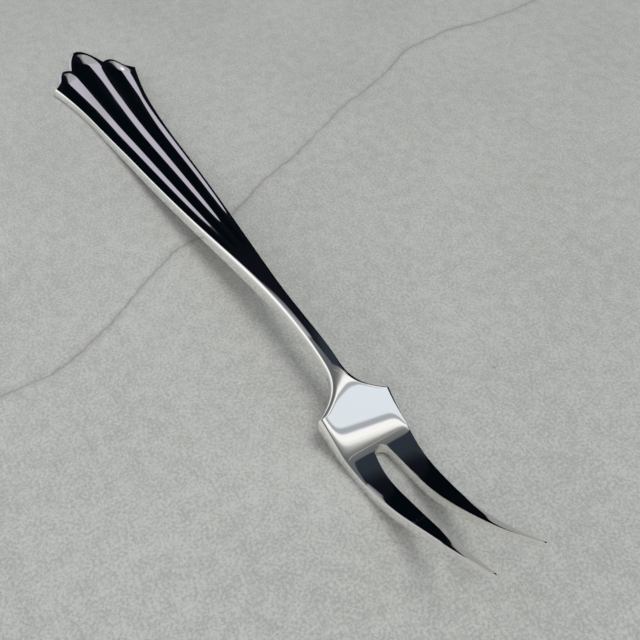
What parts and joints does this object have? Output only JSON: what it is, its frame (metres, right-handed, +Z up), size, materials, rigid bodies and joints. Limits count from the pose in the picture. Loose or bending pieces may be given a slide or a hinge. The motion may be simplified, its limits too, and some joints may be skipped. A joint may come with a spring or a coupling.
{
  "type": "pastry fork",
  "caption": "Small polished fork with upswept tines, a shouldered blade, a slim arched stem and a fluted handle with a lobed end.",
  "frame": {"origin": "on the table under the middle of the fork's length, at the lowest point of the back", "axes": "+X along the fork from the handle's lobed end towards the tine tips, +Y across the fork, +Z up from the table, the way the polished face looks"},
  "size_m": [0.152, 0.0188, 0.015],
  "materials": {
    "silver": "mirror-polished silver"
  },
  "bodies": {
    "root": {"handle_end": "silver", "handle": "silver", "stem": "silver", "blade": "silver", "tine_left": "silver", "tine_right": "silver"}
  },
  "joints": []
}
